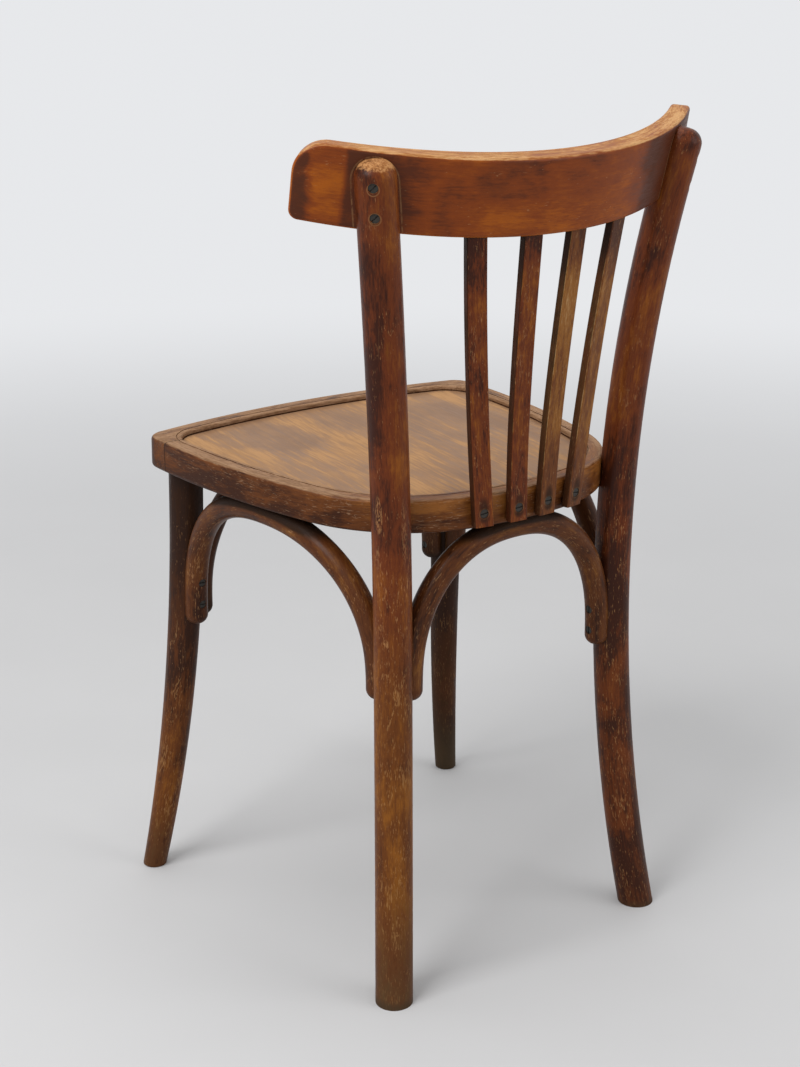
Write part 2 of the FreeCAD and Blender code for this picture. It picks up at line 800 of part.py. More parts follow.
frame = tilt(frame_blank())
frame_tools = rooms + both([coach_room, leg_tenon(fit)] + slat_holes + joint_dowels(fit))
frame_tools += [top_holes["rear"], top_holes["front"]] + both([top_holes["left"]])
frame = cut_all(frame, frame_tools)
nodes["seat_front_rail"] = frame.common(tilt(block(-400, 400, -400, rail_joint, -100, 100)))
nodes["seat_hoop"] = frame.common(tilt(block(-400, 400, rail_joint, 400, -100, 100)))
nodes["seat_panel"] = seat_panel()

nodes["crest_screws"] = both([aim(wood_screw(crest_screw_length), p, d) for p, d in crest_places])
nodes["slat_screws"] = both([aim(wood_screw(slat_screw_length), p, d) for p, d in slat_places])
top_screws = {n: aim(wood_screw(arch_top_screw_length), p, d) for n, (p, d) in top_places.items()}
nodes["arch_top_screws"] = [top_screws["rear"], top_screws["front"]] + both([top_screws["left"]])
end_screws = {n: [aim(wood_screw(arch_end_screw_length), p, d) for p, d in end_places[n]] for n in arches}
nodes["arch_end_screws"] = end_screws["rear"] + end_screws["front"] + both(end_screws["left"])
nodes["post_coach_screws"] = both([aim(coach_screw(), coach_start, coach_way)])
nodes["post_washers"] = both([aim(washer(), coach_start + coach_way * washer_thickness, coach_way)])
nodes["joint_dowels"] = both(joint_dowels(0))

for name, shape in nodes.items():
    if isinstance(shape, list):
        shape = Part.makeCompound(shape)
    shape.exportStep("parts/" + name + ".step")
    box = shape.BoundBox
    print(name, len(shape.Solids), "valid" if shape.isValid() else "INVALID", round(shape.Volume),
          [round(v, 1) for v in (box.XMin, box.XMax, box.YMin, box.YMax, box.ZMin, box.ZMax)])
print("post axis behind the crest's back face:", round(post_offset(), 2))
near, out = frame_edge_near(post_axis(frame_level(post_waist_back, 0)))
print("post axis to the frame's edge:", round((V(post_axis(450).x, post_axis(450).y, 0) - near).Length, 2))
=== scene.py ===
# %% [markdown]
# # A worn bentwood chair
# This lesson takes a chair that is already modelled as solid pieces and makes it look like an old
# one: stained beech under a thin varnish, rubbed pale where hands, backs and shoes have met it for
# decades. The pieces come in as a fixed frame. We keep their shapes, and work on light, camera and
# materials. Everything is in metres, Z is up and the sitter faces -Y.

# %% Load the solid chair
import math

import bpy
from mathutils import Matrix, Vector

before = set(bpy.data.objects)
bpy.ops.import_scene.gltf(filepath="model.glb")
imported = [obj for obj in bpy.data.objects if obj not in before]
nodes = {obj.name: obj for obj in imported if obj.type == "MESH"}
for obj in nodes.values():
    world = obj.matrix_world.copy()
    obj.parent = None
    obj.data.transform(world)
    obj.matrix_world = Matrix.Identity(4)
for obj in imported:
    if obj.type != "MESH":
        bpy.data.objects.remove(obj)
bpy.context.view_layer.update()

# %% [markdown]
# ## The camera
# The photograph was taken from behind the sitter's left shoulder, from a little above the top of the
# chair. A camera could be moved about by eye until the picture fits. Here its place and direction
# were worked out from the chair's own proportions, so we write them as numbers: where the camera
# stands, how far it is turned and tipped down, and how long its lens is.

# %% Place the camera
CAMERA_PLACE = Vector((1.0025, 1.2945, 0.9040))
CAMERA_TURN = math.radians(142.814)
CAMERA_DROP = math.radians(18.005)
CAMERA_ROLL = math.radians(-0.036)
IMAGE_HEIGHT = 1067
FOCAL_PIXELS = 1800.08
SENSOR = 36.0
NEAREST_SEEN = 0.05
FURTHEST_SEEN = 200


def camera_axes(turn, drop, roll):
    """The camera's right, up and backward directions as a rotation."""
    back = Vector((math.sin(turn) * math.cos(drop), -math.cos(turn) * math.cos(drop), math.sin(drop)))
    right = Vector((math.cos(turn), math.sin(turn), 0))
    up = back.cross(right)
    axes = Matrix((right, up, back)).transposed()
    return axes @ Matrix.Rotation(roll, 3, "Z")


camera_data = bpy.data.cameras.new("camera")
camera_data.sensor_width = SENSOR
camera_data.lens = FOCAL_PIXELS / IMAGE_HEIGHT * SENSOR
camera_data.clip_start = NEAREST_SEEN
camera_data.clip_end = FURTHEST_SEEN
camera = bpy.data.objects.new("camera", camera_data)
camera_way = camera_axes(CAMERA_TURN, CAMERA_DROP, CAMERA_ROLL).to_4x4()
camera.matrix_world = Matrix.Translation(CAMERA_PLACE) @ camera_way
bpy.context.scene.collection.objects.link(camera)
bpy.context.scene.camera = camera
print("lens:", round(camera_data.lens, 2), "mm")

# %% [markdown]
# ## Light
# A photographer's soft light: an even sky from all round, one big soft lamp high on the camera's
# left, a weaker one on the right and one overhead, so that the round rods get a long soft highlight
# each. A picture of a real room could light the chair too, but square lamps can be moved one by one.
# The view transform stays plain, so that a colour renders about as it is written.

# %% Sky and lamps
SKY_LIGHT = 0.56
BACKGROUND = (0.80, 0.81, 0.83, 1)

scene = bpy.context.scene
scene.view_settings.view_transform = "Standard"


def add_lamp(name, place, target, size, power):
    """A square soft lamp that looks at a point."""
    lamp = bpy.data.lights.new(name, "AREA")
    lamp.shape = "SQUARE"
    lamp.size = size
    lamp.energy = power
    holder = bpy.data.objects.new(name, lamp)
    holder.location = place
    holder.rotation_euler = (Vector(target) - Vector(place)).to_track_quat("-Z", "Y").to_euler()
    scene.collection.objects.link(holder)


add_lamp("key_lamp", place=(2.3, 0.3, 2.6), target=(0, 0, 0.4), size=1.6, power=62)
add_lamp("fill_lamp", place=(-1.6, 2.4, 1.7), target=(0, 0, 0.45), size=1.8, power=22)
add_lamp("top_lamp", place=(0, -0.2, 3.0), target=(0, 0, 0.4), size=2.0, power=24)

# %% [markdown]
# ## Shader maths in Python
# A material is a tree of nodes. Long trees are hard to read when every node and link is a line of
# its own, so the class below wraps one output of a node. Python's operators then add the Math
# nodes: `1 - mask` makes a Subtract node. A second class holds a material's tree and has a method
# for each other kind of node that we need.


# %% A value that Python's operators work on
class Value:
    """One output of a node. Sums and products of values add Math nodes to the tree."""

    def __init__(self, tree, socket):
        self.tree = tree
        self.socket = socket

    def math(self, operation, *others, first=None):
        node = self.tree.nodes.new("ShaderNodeMath")
        node.operation = operation
        inputs = [self, *others] if first is None else [first, self, *others]
        for i, item in enumerate(inputs):
            if isinstance(item, Value):
                self.tree.links.new(item.socket, node.inputs[i])
            else:
                node.inputs[i].default_value = item
        return Value(self.tree, node.outputs[0])

    def __add__(self, other):
        return self.math("ADD", other)

    def __radd__(self, other):
        return self.math("ADD", first=other)

    def __sub__(self, other):
        return self.math("SUBTRACT", other)

    def __rsub__(self, other):
        return self.math("SUBTRACT", first=other)

    def __mul__(self, other):
        return self.math("MULTIPLY", other)

    def __truediv__(self, other):
        return self.math("DIVIDE", other)

    def __pow__(self, other):
        return self.math("POWER", other)

    def __abs__(self):
        return self.math("ABSOLUTE")

    def least(self, other):
        return self.math("MINIMUM", other)

    def most(self, other):
        return self.math("MAXIMUM", other)

    def softmost(self, other, blend):
        return self.math("SMOOTH_MAX", other, blend)

    def root(self):
        return self.math("SQRT")

    def angle_to(self, other):
        return self.math("ARCTAN2", other)


print("besides the operators, a value has:", [name for name in vars(Value) if name[0] != "_"])


# %% Two sums that come back often
def most_of(*masks):
    """At each point, the strongest of several masks."""
    strongest = masks[0]
    for mask in masks[1:]:
        strongest = strongest.most(mask)
    return strongest


def length(*parts):
    """The length of a step, from how far it goes in each direction."""
    squares = parts[0] * parts[0]
    for part in parts[1:]:
        squares = squares + part * part
    return squares.root()


print("helpers:", most_of.__name__, length.__name__)

# %% A material's tree
MIX_COLOURS = (6, 7)
MIX_RESULT = 2


class Finish:
    """A new material with a Principled shader, and the ways to add to its tree."""

    def __init__(self, name):
        self.material = bpy.data.materials.new(name)
        self.material.use_nodes = True
        self.tree = self.material.node_tree
        self.shader = self.tree.nodes["Principled BSDF"]

    def node(self, kind, settings=None, links=None, output=0):
        """Any node: its settings first, then the values or links of its sockets."""
        node = self.tree.nodes.new(kind)
        for name, setting in (settings or {}).items():
            setattr(node, name, setting)
        for name, item in (links or {}).items():
            self.plug(item, node.inputs[name])
        return Value(self.tree, node.outputs[output])

    def plug(self, item, socket):
        """A link for a value, and the socket's own setting for a colour or a number."""
        if isinstance(item, Value):
            self.tree.links.new(item.socket, socket)
        elif isinstance(item, tuple) and len(item) == 3:
            socket.default_value = (*item, 1)
        else:
            socket.default_value = item

    def coordinates(self, kind):
        """One of the Texture Coordinate node's outputs, as three values."""
        split = self.tree.nodes.new("ShaderNodeSeparateXYZ")
        self.plug(self.node("ShaderNodeTexCoord", output=kind), split.inputs[0])
        return [Value(self.tree, socket) for socket in split.outputs]

    def place(self):
        """The point on the piece, in metres."""
        return self.coordinates("Object")

    def facing(self):
        """The surface's own direction."""
        return self.coordinates("Normal")

    def point(self, x, y, z):
        return self.node("ShaderNodeCombineXYZ", links={"X": x, "Y": y, "Z": z})

    def noise(self, point, scale, detail=3.0, roughness=0.55, distortion=0.0):
        return self.node("ShaderNodeTexNoise", links={
            "Vector": point, "Scale": scale, "Detail": detail, "Roughness": roughness,
            "Distortion": distortion})

    def rise(self, value, low, high):
        """0 below low, 1 above high, smooth between. Low above high falls instead."""
        return self.node("ShaderNodeMapRange", {"interpolation_type": "SMOOTHSTEP"},
                         {"Value": value, "From Min": low, "From Max": high})

    def band(self, value, start, full, falls, end):
        """1 from full to falls, and 0 before the start and after the end."""
        return self.rise(value, start, full) * self.rise(value, end, falls)

    def spot(self, a, b, centre, half):
        """1 inside a soft oval, and 0 outside it. The oval has a centre and two half widths."""
        return self.rise(length((a - centre[0]) / half[0], (b - centre[1]) / half[1]), 1.25, 0.6)

    def mix(self, share, first, second):
        """A colour between two colours."""
        node = self.tree.nodes.new("ShaderNodeMix")
        node.data_type = "RGBA"
        self.plug(share, node.inputs[0])
        for i, colour in zip(MIX_COLOURS, (first, second)):
            self.plug(colour, node.inputs[i])
        return Value(self.tree, node.outputs[MIX_RESULT])

    def feed(self, name, value):
        """A value or a number for one of the shader's inputs."""
        self.plug(value, self.shader.inputs[name])

    def relief(self, height, strength, distance):
        self.feed("Normal", self.node("ShaderNodeBump", links={
            "Height": height, "Strength": strength, "Distance": distance}))


print("a finish has:", [name for name in vars(Finish) if name[0] != "_"])

# %% [markdown]
# ## The floor and the background
# A plain pale floor, wide enough to fill the picture, and a sky that the camera sees as a pale grey.
# A curved studio backdrop would need a bend that shadows and the camera can find, so instead the
# floor's paint fades into the colour of the background away from the chair, and no horizon shows.
# Light Path sets apart what the camera and the reflections see of the sky from the light that it
# gives, so the background can be pale without putting more light on the wood.

# %% Make the floor
FLOOR_REACH = 60.0
FLOOR_CORNERS = 96
FLOOR_COLOUR = (0.56, 0.56, 0.565)
FLOOR_SHADE = 0.98
FLOOR_FADE = (0.7, 3.2)

bpy.ops.object.select_all(action="DESELECT")
bpy.ops.mesh.primitive_circle_add(
    vertices=FLOOR_CORNERS, radius=FLOOR_REACH, fill_type="NGON", location=(0, 0, 0))
floor = bpy.context.active_object
floor.name = "floor"
print("floor:", floor.name, "reaches", FLOOR_REACH, "m")


# %% Paint the floor
def mix_shaders(tree, share, first, second):
    """A shader between two shaders."""
    mixer = tree.nodes.new("ShaderNodeMixShader")
    for i, socket in enumerate((share.socket, first, second)):
        tree.links.new(socket, mixer.inputs[i])
    return mixer.outputs[0]


floor_finish = Finish("floor_paint")
x, y, z = floor_finish.place()
cloudy = floor_finish.rise(floor_finish.noise(floor_finish.point(x, y, z), 3.0, 4.0), 0.3, 0.7)
shaded = tuple(part * FLOOR_SHADE for part in FLOOR_COLOUR)
floor_finish.feed("Base Color", floor_finish.mix(cloudy, shaded, FLOOR_COLOUR))
floor_finish.feed("Roughness", 0.85)
floor_finish.feed("Specular IOR Level", 0.2)
paper = floor_finish.node("ShaderNodeEmission", links={"Color": BACKGROUND, "Strength": 1.0})
faded = mix_shaders(floor_finish.tree, floor_finish.rise(length(x, y), *FLOOR_FADE),
                    floor_finish.shader.outputs[0], paper.socket)
floor_finish.tree.links.new(faded, floor_finish.tree.nodes["Material Output"].inputs["Surface"])
floor.data.materials.append(floor_finish.material)
print("the floor fades from", FLOOR_FADE[0], "to", FLOOR_FADE[1], "m")

# %% Make the sky
world = bpy.data.worlds.new("studio")
scene.world = world
world.use_nodes = True
sky = world.node_tree
sky.nodes.clear()


def sky_shader(colour, strength):
    """An even sky of one colour."""
    even = sky.nodes.new("ShaderNodeBackground")
    even.inputs["Color"].default_value = colour
    even.inputs["Strength"].default_value = strength
    return even.outputs[0]


light_path = sky.nodes.new("ShaderNodeLightPath")
seen = most_of(*[Value(sky, light_path.outputs[f"Is {kind} Ray"])
                 for kind in ("Camera", "Glossy", "Transmission")])
sky_parts = mix_shaders(sky, seen, sky_shader((1, 1, 1, 1), SKY_LIGHT), sky_shader(BACKGROUND, 1.0))
sky_end = sky.nodes.new("ShaderNodeOutputWorld")
sky.links.new(sky_parts, sky_end.inputs["Surface"])
print("sky light:", SKY_LIGHT, "background:", BACKGROUND[:3])

# %% [markdown]
# ## Old stained beech
# Beech has fine, even grain. This chair was stained red-brown and varnished. In use the stain has
# gone streaky and in places thin, so that it turns from dark red to amber, and where it is rubbed
# through, pale wood shows. Painting that on every piece would take pictures and unwrapped meshes.
# One recipe of noises does it without either, and follows each piece's bend. It is given three
# values: the distance along the grain, and two distances across it. Noise stretched along the grain
# gives fibres, and slow noise gives patches. Masks that each piece works out from its own shape say
# where the stain is thin, where it is worn off, and where dirt and painted shade darken it.


# %% The colours of a piece
class Tones:
    """The colours of one piece, from the darkest stain to bare wood, and the dark colour of its dirt and
    painted shade.
    """

    def __init__(self, deep, stain, amber, bare, grime_and_shade=(0.014, 0.007, 0.004)):
        self.deep = deep
        self.stain = stain
        self.amber = amber
        self.bare = bare
        self.grime_and_shade = grime_and_shade

    def blend(self, finish, share, other, foot):
        """These tones where the share is 0, the others where it is 1, and the others' colour of dirt and
        painted shade at the foot.
        """
        mixed = [finish.mix(share, mine, theirs) for mine, theirs in (
            (self.deep, other.deep), (self.stain, other.stain), (self.amber, other.amber),
            (self.bare[0], other.bare[0]), (self.bare[1], other.bare[1]))]
        return Tones(*mixed[:3], mixed[3:], finish.mix(foot, self.grime_and_shade, other.grime_and_shade))


RED = Tones(deep=(0.036, 0.009, 0.004), stain=(0.120, 0.026, 0.006), amber=(0.225, 0.067, 0.008),
            bare=((0.26, 0.100, 0.025), (0.42, 0.205, 0.080)))
GOLD = Tones(deep=(0.060, 0.018, 0.006), stain=(0.130, 0.040, 0.010), amber=(0.240, 0.094, 0.018),
             bare=((0.27, 0.135, 0.045), (0.40, 0.230, 0.100)))
SCUFFED = Tones(deep=(0.038, 0.012, 0.004), stain=(0.116, 0.034, 0.006), amber=(0.225, 0.077, 0.009),
                bare=((0.24, 0.100, 0.026), (0.40, 0.205, 0.070)), grime_and_shade=(0.048, 0.032, 0.017))
BROWN = Tones(deep=(0.028, 0.009, 0.004), stain=(0.090, 0.027, 0.007), amber=(0.200, 0.076, 0.014),
              bare=((0.24, 0.100, 0.028), (0.40, 0.205, 0.085)))
print("stains:", {"red": RED.stain, "gold": GOLD.stain, "scuffed": SCUFFED.stain, "brown": BROWN.stain})

# %% The grain of a piece
# Each noise has its count per metre along the grain and across it, and its levels of detail
FINE_FIBRES = (110.0, 720.0, 2.0)
MIDDLE_FIBRES = (24.0, 250.0, 3.0)
WIDE_FIBRES = (9.0, 80.0, 3.0)
PATCHES = (17.0, 36.0, 6.0)
PORES = (170.0, 1300.0, 1.0)
CLUSTERS = (30.0, 60.0, 2.0)
NICKS = (170.0, 950.0, 2.0)
CHIPS = (70.0, 400.0, 3.0)
GRAIN_ROUGHNESS = 0.6


class Grain:
    """Noises that follow one piece's grain. The seed moves them along it, so no two pieces match."""

    def __init__(self, finish, run, across, depth, seed=0.0, figure=1.0, mottle=1.0):
        self.finish = finish
        self.run = run + seed
        self.across = across
        self.depth = depth
        self.figure = figure
        self.mottle = mottle
        fine, middle, wide = [self.noise(*size) - 0.5 for size in (FINE_FIBRES, MIDDLE_FIBRES, WIDE_FIBRES)]
        self.fibres = fine * 0.9 + middle * 0.8 + wide * 0.6
        self.patches = self.noise(*PATCHES, distortion=0.5) - 0.5

    def noise(self, along, over, detail, distortion=0.0):
        point = self.finish.point(self.run * along, self.across * over, self.depth * over)
        return self.finish.noise(point, 1.0, detail, GRAIN_ROUGHNESS, distortion)

    def stir(self, mask, fibre_share, patch_share):
        """A mask broken up by the fibres and the patches."""
        return mask + self.fibres * fibre_share * self.figure + self.patches * patch_share * self.mottle


print("fibres per metre across the grain:", [size[1] for size in (WIDE_FIBRES, MIDDLE_FIBRES, FINE_FIBRES)])


# %% Stain and bare wood
def stained_wood(grain, tones, thin, worn):
    """The colour of stain that is thick or thin or worn off, and a mask of the bare wood."""
    finish = grain.finish
    tone = grain.stir(thin, 1.1, 1.9)
    colour = finish.mix(finish.rise(tone, 0.0, 0.5), tones.deep, tones.stain)
    colour = finish.mix(finish.rise(tone, 0.45, 1.05), colour, tones.amber)
    bare_colour = finish.mix(finish.rise(grain.fibres, -0.16, 0.18), *tones.bare)
    bare = finish.rise(grain.stir(worn, 0.9, 1.2), 0.45, 0.90)
    pores = finish.rise(grain.noise(*PORES), 0.60, 0.72)
    return finish.mix(pores * 0.32, finish.mix(bare, colour, bare_colour), tones.deep), bare


print("made:", stained_wood.__name__)

# %% [markdown]
# ## Nicks, chips and scratches
# Decades of knocks leave small pale marks, in clusters. Thousands of little cuts in the mesh would
# be heavy and too small to see as shapes, so they are colour and a shallow relief: a noise cut off
# near its peaks gives nicks and chips, and the thin lines where another noise crosses its middle
# value give scratches.

# %% Small marks
SCRATCH_WIDTH = (0.0060, 0.0015)


def small_marks(grain, scuffs):
    """A mask of nicks, chips and scratches. More scuffs make more of each."""
    finish = grain.finish
    clusters = grain.noise(*CLUSTERS)
    lift = (clusters - 0.5) * 0.35 + scuffs * 0.12
    nicks = finish.rise(grain.noise(*NICKS) + lift, 0.70, 0.79)
    chips = finish.rise(grain.noise(*CHIPS) + lift, 0.80, 0.86)
    run, across = grain.run, grain.across
    slanting = finish.point(run * 14.0 + across * 20.0, across * 120.0 - run * 6.0, grain.depth * 120.0)
    scratches = finish.rise(abs(finish.noise(slanting, 1.0, 1.0) - 0.5), *SCRATCH_WIDTH)
    scratches = scratches * finish.rise(clusters + scuffs * 0.14, 0.62, 0.74)
    return most_of(nicks * 0.6, chips * 0.8, scratches * 0.5)


print("made:", small_marks.__name__)

# %% The recipe for old wood
VARNISH = 0.06
VARNISH_ROUGHNESS = 0.2
WOOD_SHINE = 0.10
RELIEF_STRENGTH = 0.5
RELIEF_DEPTH = 0.0005


def old_wood(grain, tones, thin, worn, dirt_and_shade, scuffs=0.2, gloss=0.40, marks_and_highlights=None):
    """Feeds the wood's colour, roughness, varnish and relief, from masks that are about 0 to 1."""
    finish = grain.finish
    colour, bare = stained_wood(grain, tones, thin, worn)
    light = small_marks(grain, scuffs)
    # Marks passed in are pale marks of wear and painted highlights, laid on like the nicks.
    if marks_and_highlights is not None:
        light = light.most(marks_and_highlights)
    colour = finish.mix(light * 0.75, colour, tones.bare[1])
    # Dirt and painted shade both darken the wood here, toward the one dark colour of dirt and shade.
    grime_and_shade = finish.rise(grain.stir(dirt_and_shade, 0.5, 1.0), 0.30, 0.95)
    finish.feed("Base Color", finish.mix(grime_and_shade * 0.9, colour, tones.grime_and_shade))

    rough = gloss + (bare + grime_and_shade + light) * 0.2 + (grain.fibres + grain.patches) * 0.3
    finish.feed("Roughness", rough.most(0.2).least(0.85))
    finish.feed("Specular IOR Level", WOOD_SHINE)
    finish.feed("Coat Weight", (VARNISH - bare * VARNISH - grime_and_shade * 0.05).most(0.0))
    finish.feed("Coat Roughness", VARNISH_ROUGHNESS)
    height = (grain.fibres + grain.patches) * 0.5 - light * 0.7 - bare * 0.12
    finish.relief(height, RELIEF_STRENGTH, RELIEF_DEPTH)


def give(finish, *names):
    """Assigns a finish to nodes."""
    for name in names:
        nodes[name].material_slots[0].material = finish.material
    print(finish.material.name, "->", ", ".join(names))


print("made:", old_wood.__name__, give.__name__)

# %% [markdown]
# ## The back posts
# Each post is one bent rod. A picture of wood wrapped round it would slip along the bend. Its middle
# line is a plain formula of the height, the same one that its solid was bent by, so we take that line
# away from the point's own place, and what is left is the distance across the rod. Both posts are
# dark red above the seat, one side painted lighter as a highlight. Below it shoes have rubbed the left
# one, nearer the camera, to a golden brown full of fine pale scratches, with a dirty foot, and the
# right one much less. The domed tops are worn pale; a thin pale ring round each screw in the posts'
# heads is a painted highlight.

# %% The bend of a post
# Pairs are the way out to the side and the way back
POST_WAIST = (0.1298, 0.1337)
POST_WAIST_HEIGHT = (0.340, 0.355)
POST_LOW = (0.021, 0.029)
POST_TOP = (0.040, 0.0305)
POST_TOP_POWER = (2.0, 2.2)
POST_BEND_TOP = 0.752
POST_RADIUS = 0.017


def post_middle(z):
    """The rod's middle line at a height: how far out and how far back."""
    place = []
    for i in (0, 1):
        low = (1.0 - z / POST_WAIST_HEIGHT[i]).most(0.0)
        high = ((z - POST_WAIST_HEIGHT[i]) / (POST_BEND_TOP - POST_WAIST_HEIGHT[i])).most(0.0)
        place.append(low * low * POST_LOW[i] + high ** POST_TOP_POWER[i] * POST_TOP[i] + POST_WAIST[i])
    return place


print("the posts are closest at:", POST_WAIST_HEIGHT, "m")

# %% The screws in a post's head
SCREW_LEVELS = (0.7071, 0.7303)
SCREW_WAY = (0.6820, 0.7159, -0.1496)
# The thin pale ring round each screw is a painted highlight, where light catches the rim of its head.
SCREW_HIGHLIGHT_RADIUS = 0.0048
SCREW_HIGHLIGHT_WIDTH = (0.0008, 0.0002)
SCREW_STAIN = (0.0075, SCREW_HIGHLIGHT_RADIUS)


def from_screw(x, y, z, level):
    """How far a point lies from the line of one of the screws through a post's head."""
    middle = []
    for i in (0, 1):
        high = (level - POST_WAIST_HEIGHT[i]) / (POST_BEND_TOP - POST_WAIST_HEIGHT[i])
        middle.append(high ** POST_TOP_POWER[i] * POST_TOP[i] + POST_WAIST[i])
    from_x, from_y, from_z = x - middle[0], y - middle[1], z - level
    along = from_x * SCREW_WAY[0] + from_y * SCREW_WAY[1] + from_z * SCREW_WAY[2]
    return (from_x * from_x + from_y * from_y + from_z * from_z - along * along).most(0.0).root()


print("screws in a post's head at:", SCREW_LEVELS, "m")

# %% The larger scrapes on the left post
# Each is a centre and two half widths: round the rod, and in height
SCRAPE = ((-0.010, 0.4525), (0.0030, 0.017))
FAINT_SCRAPE = ((0.011, 0.437), (0.0022, 0.030))
DENT = ((-0.006, 0.337), (0.0026, 0.0045))
SLASH = ((0.003, 0.285), (0.02, 0.034))
SLASH_SLOPE = 0.32
SLASH_WIDTH = (0.0016, 0.0006)


def post_scrapes(finish, x, y, z, inward):
    """The larger pale scrapes, broken up by a fine noise."""
    broken = finish.rise(finish.noise(finish.point(x * 900.0, y * 900.0, z * 260.0), 1.0, 3.0), 0.46, 0.58)
    scrapes = most_of(finish.spot(inward, z, *SCRAPE), finish.spot(inward, z, *FAINT_SCRAPE) * 0.6,
                      finish.spot(inward, z, *DENT))
    slash_inward, slash_height = SLASH[0]
    slash = finish.rise(abs(inward - (z - slash_height) * SLASH_SLOPE - slash_inward), *SLASH_WIDTH)
    slash = slash * finish.spot(inward, z, *SLASH) * broken * 0.8
    return (scrapes * broken).most(slash) * 0.75


print("scrapes at:", [mark[0][1] for mark in (SCRAPE, FAINT_SCRAPE, DENT, SLASH)], "m")

# %% Finish the back posts
# Each pair is where a mask starts and where it is full, in metres of height
SEAT_LEVEL = 0.445
BELOW_SEAT = (0.50, 0.38)
SCUFFED_BELOW = (0.42, 0.24)
HIGHLIGHT_ABOVE = (0.40, 0.50)
DOME_ABOVE = (0.60, 0.70)
FOOT_DIRT = (0.19, 0.01)
FOOT_GREY = (0.16, 0.03)
FLOOR_LINE = (0.010, 0.0)
# The same in metres across the rod, and from the seat's joint
HIGHLIGHT_INWARD = (-0.004, 0.010)
INNER_FRONT = (0.0, -0.014)
JOINT_REACH = (0.045, 0.012)
DARK_SPOT = ((-0.003, 0.60), (0.012, 0.040))


def post_finish(name, side, seed, thin_low, thin_high, scuffs, dome_worn, side_highlighted, foot_dirt, scuffed,
                scraped):
    finish = Finish(name)
    x, y, z = finish.place()
    mid_x, mid_y = post_middle(z)
    across, depth = x * side - mid_x, y - mid_y
    inward = depth * 0.6 - across * 0.8
    low = finish.rise(z, *BELOW_SEAT)
    dome = finish.rise(finish.facing()[2], 0.15, 0.75) * finish.rise(z, *DOME_ABOVE)
    # A painted highlight: above the seat, one side of the rod gets thinner, lighter stain, as if lit.
    side_highlight = finish.rise(inward, *HIGHLIGHT_INWARD) * finish.rise(z, *HIGHLIGHT_ABOVE)
    joint = finish.rise(abs(z - SEAT_LEVEL), *JOINT_REACH) * finish.rise(depth + across * 0.6, *INNER_FRONT)
    dirt_and_shade = joint * 0.42 + finish.rise(z, *FOOT_DIRT) * foot_dirt + finish.rise(z, *FLOOR_LINE) * 0.25
    dirt_and_shade = dirt_and_shade + finish.spot(inward, z, *DARK_SPOT) * 0.28 + 0.04
    marks_and_highlights = [post_scrapes(finish, x, y, z, inward)] if scraped else []
    for level in SCREW_LEVELS:
        away = from_screw(x * side, y, z, level)
        # A painted highlight: a thin pale ring round the screw, where light catches its rim.
        marks_and_highlights.append(finish.rise(abs(away - SCREW_HIGHLIGHT_RADIUS), *SCREW_HIGHLIGHT_WIDTH) * 0.45)
        dirt_and_shade = dirt_and_shade + finish.rise(away, *SCREW_STAIN) * 0.35
    tones = RED.blend(finish, finish.rise(z, *SCUFFED_BELOW) * scuffed, SCUFFED, finish.rise(z, *FOOT_GREY))
    old_wood(Grain(finish, z, across, depth, seed, figure=0.75), tones,
             thin=low * thin_low + (1.0 - low) * thin_high + side_highlight * side_highlighted - dome * 0.1,
             worn=dome * dome_worn + 0.04, dirt_and_shade=dirt_and_shade, scuffs=low * scuffs + 0.3, marks_and_highlights=most_of(*marks_and_highlights))
    return finish


POSTS = {
    "left": {"side": 1.0, "seed": 0.0, "thin_low": 0.60, "thin_high": 0.21, "scuffs": 0.62,
             "dome_worn": 0.74, "side_highlighted": 0.34, "foot_dirt": 0.62, "scuffed": 1.0, "scraped": True},
    "right": {"side": -1.0, "seed": 3.0, "thin_low": 0.16, "thin_high": 0.32, "scuffs": 0.40,
              "dome_worn": 0.36, "side_highlighted": 0.12, "foot_dirt": 0.36, "scuffed": 0.35, "scraped": False},
}
for name, wear in POSTS.items():
    give(post_finish("post_finish_" + name, **wear), "back_post_" + name)

# %% [markdown]
# ## The front legs
# The front legs taper and sweep out at the foot. They get the posts' recipe with their own middle
# line, a power of the way down. Under the seat they are painted nearly black, as old varnish, dirt
# and painted shade, and each leg is darkened all over as painted shade with some dirt, the right one,
# in shade, much more. Lower down shoes have scuffed them to a golden brown, and the feet are
# grey-brown with floor dirt.

# %% Finish the front legs
LEG_TOP = 0.4345
LEG_PLACE = (0.1619, -0.1539)
LEG_SWEEP = (0.0314, -0.0404)
LEG_SWEEP_POWER = (2.3, 1.56)
# Each pair is where a mask starts and where it is full, in metres of height
LEG_SCUFFED_BELOW = (0.30, 0.10)
LEG_SHADE_AND_DIRT_ABOVE = (0.20, 0.40)
LEG_FOOT_DIRT = (0.11, 0.01)


def leg_finish(name, side, seed, thin, scuffed, shade_and_dirt_level):
    finish = Finish(name)
    x, y, z = finish.place()
    down = (1.0 - z / LEG_TOP).most(0.0)
    across = x * side - (down ** LEG_SWEEP_POWER[0] * LEG_SWEEP[0] + LEG_PLACE[0])
    depth = y - (down ** LEG_SWEEP_POWER[1] * LEG_SWEEP[1] + LEG_PLACE[1])
    low = finish.rise(z, *LEG_SCUFFED_BELOW)
    # Painted shade and dirt: the legs' tops, under the seat, are darkened.
    top = finish.rise(z, *LEG_SHADE_AND_DIRT_ABOVE)
    foot = finish.rise(z, *LEG_FOOT_DIRT)
    tones = BROWN.blend(finish, low * scuffed, SCUFFED, foot)
    old_wood(Grain(finish, z, across, depth, seed, figure=0.85), tones, thin=low * thin + 0.05,
             worn=low * 0.06 + 0.06, dirt_and_shade=top * 0.45 + foot * 0.42 + shade_and_dirt_level, scuffs=low * 0.7 + 0.3)
    return finish


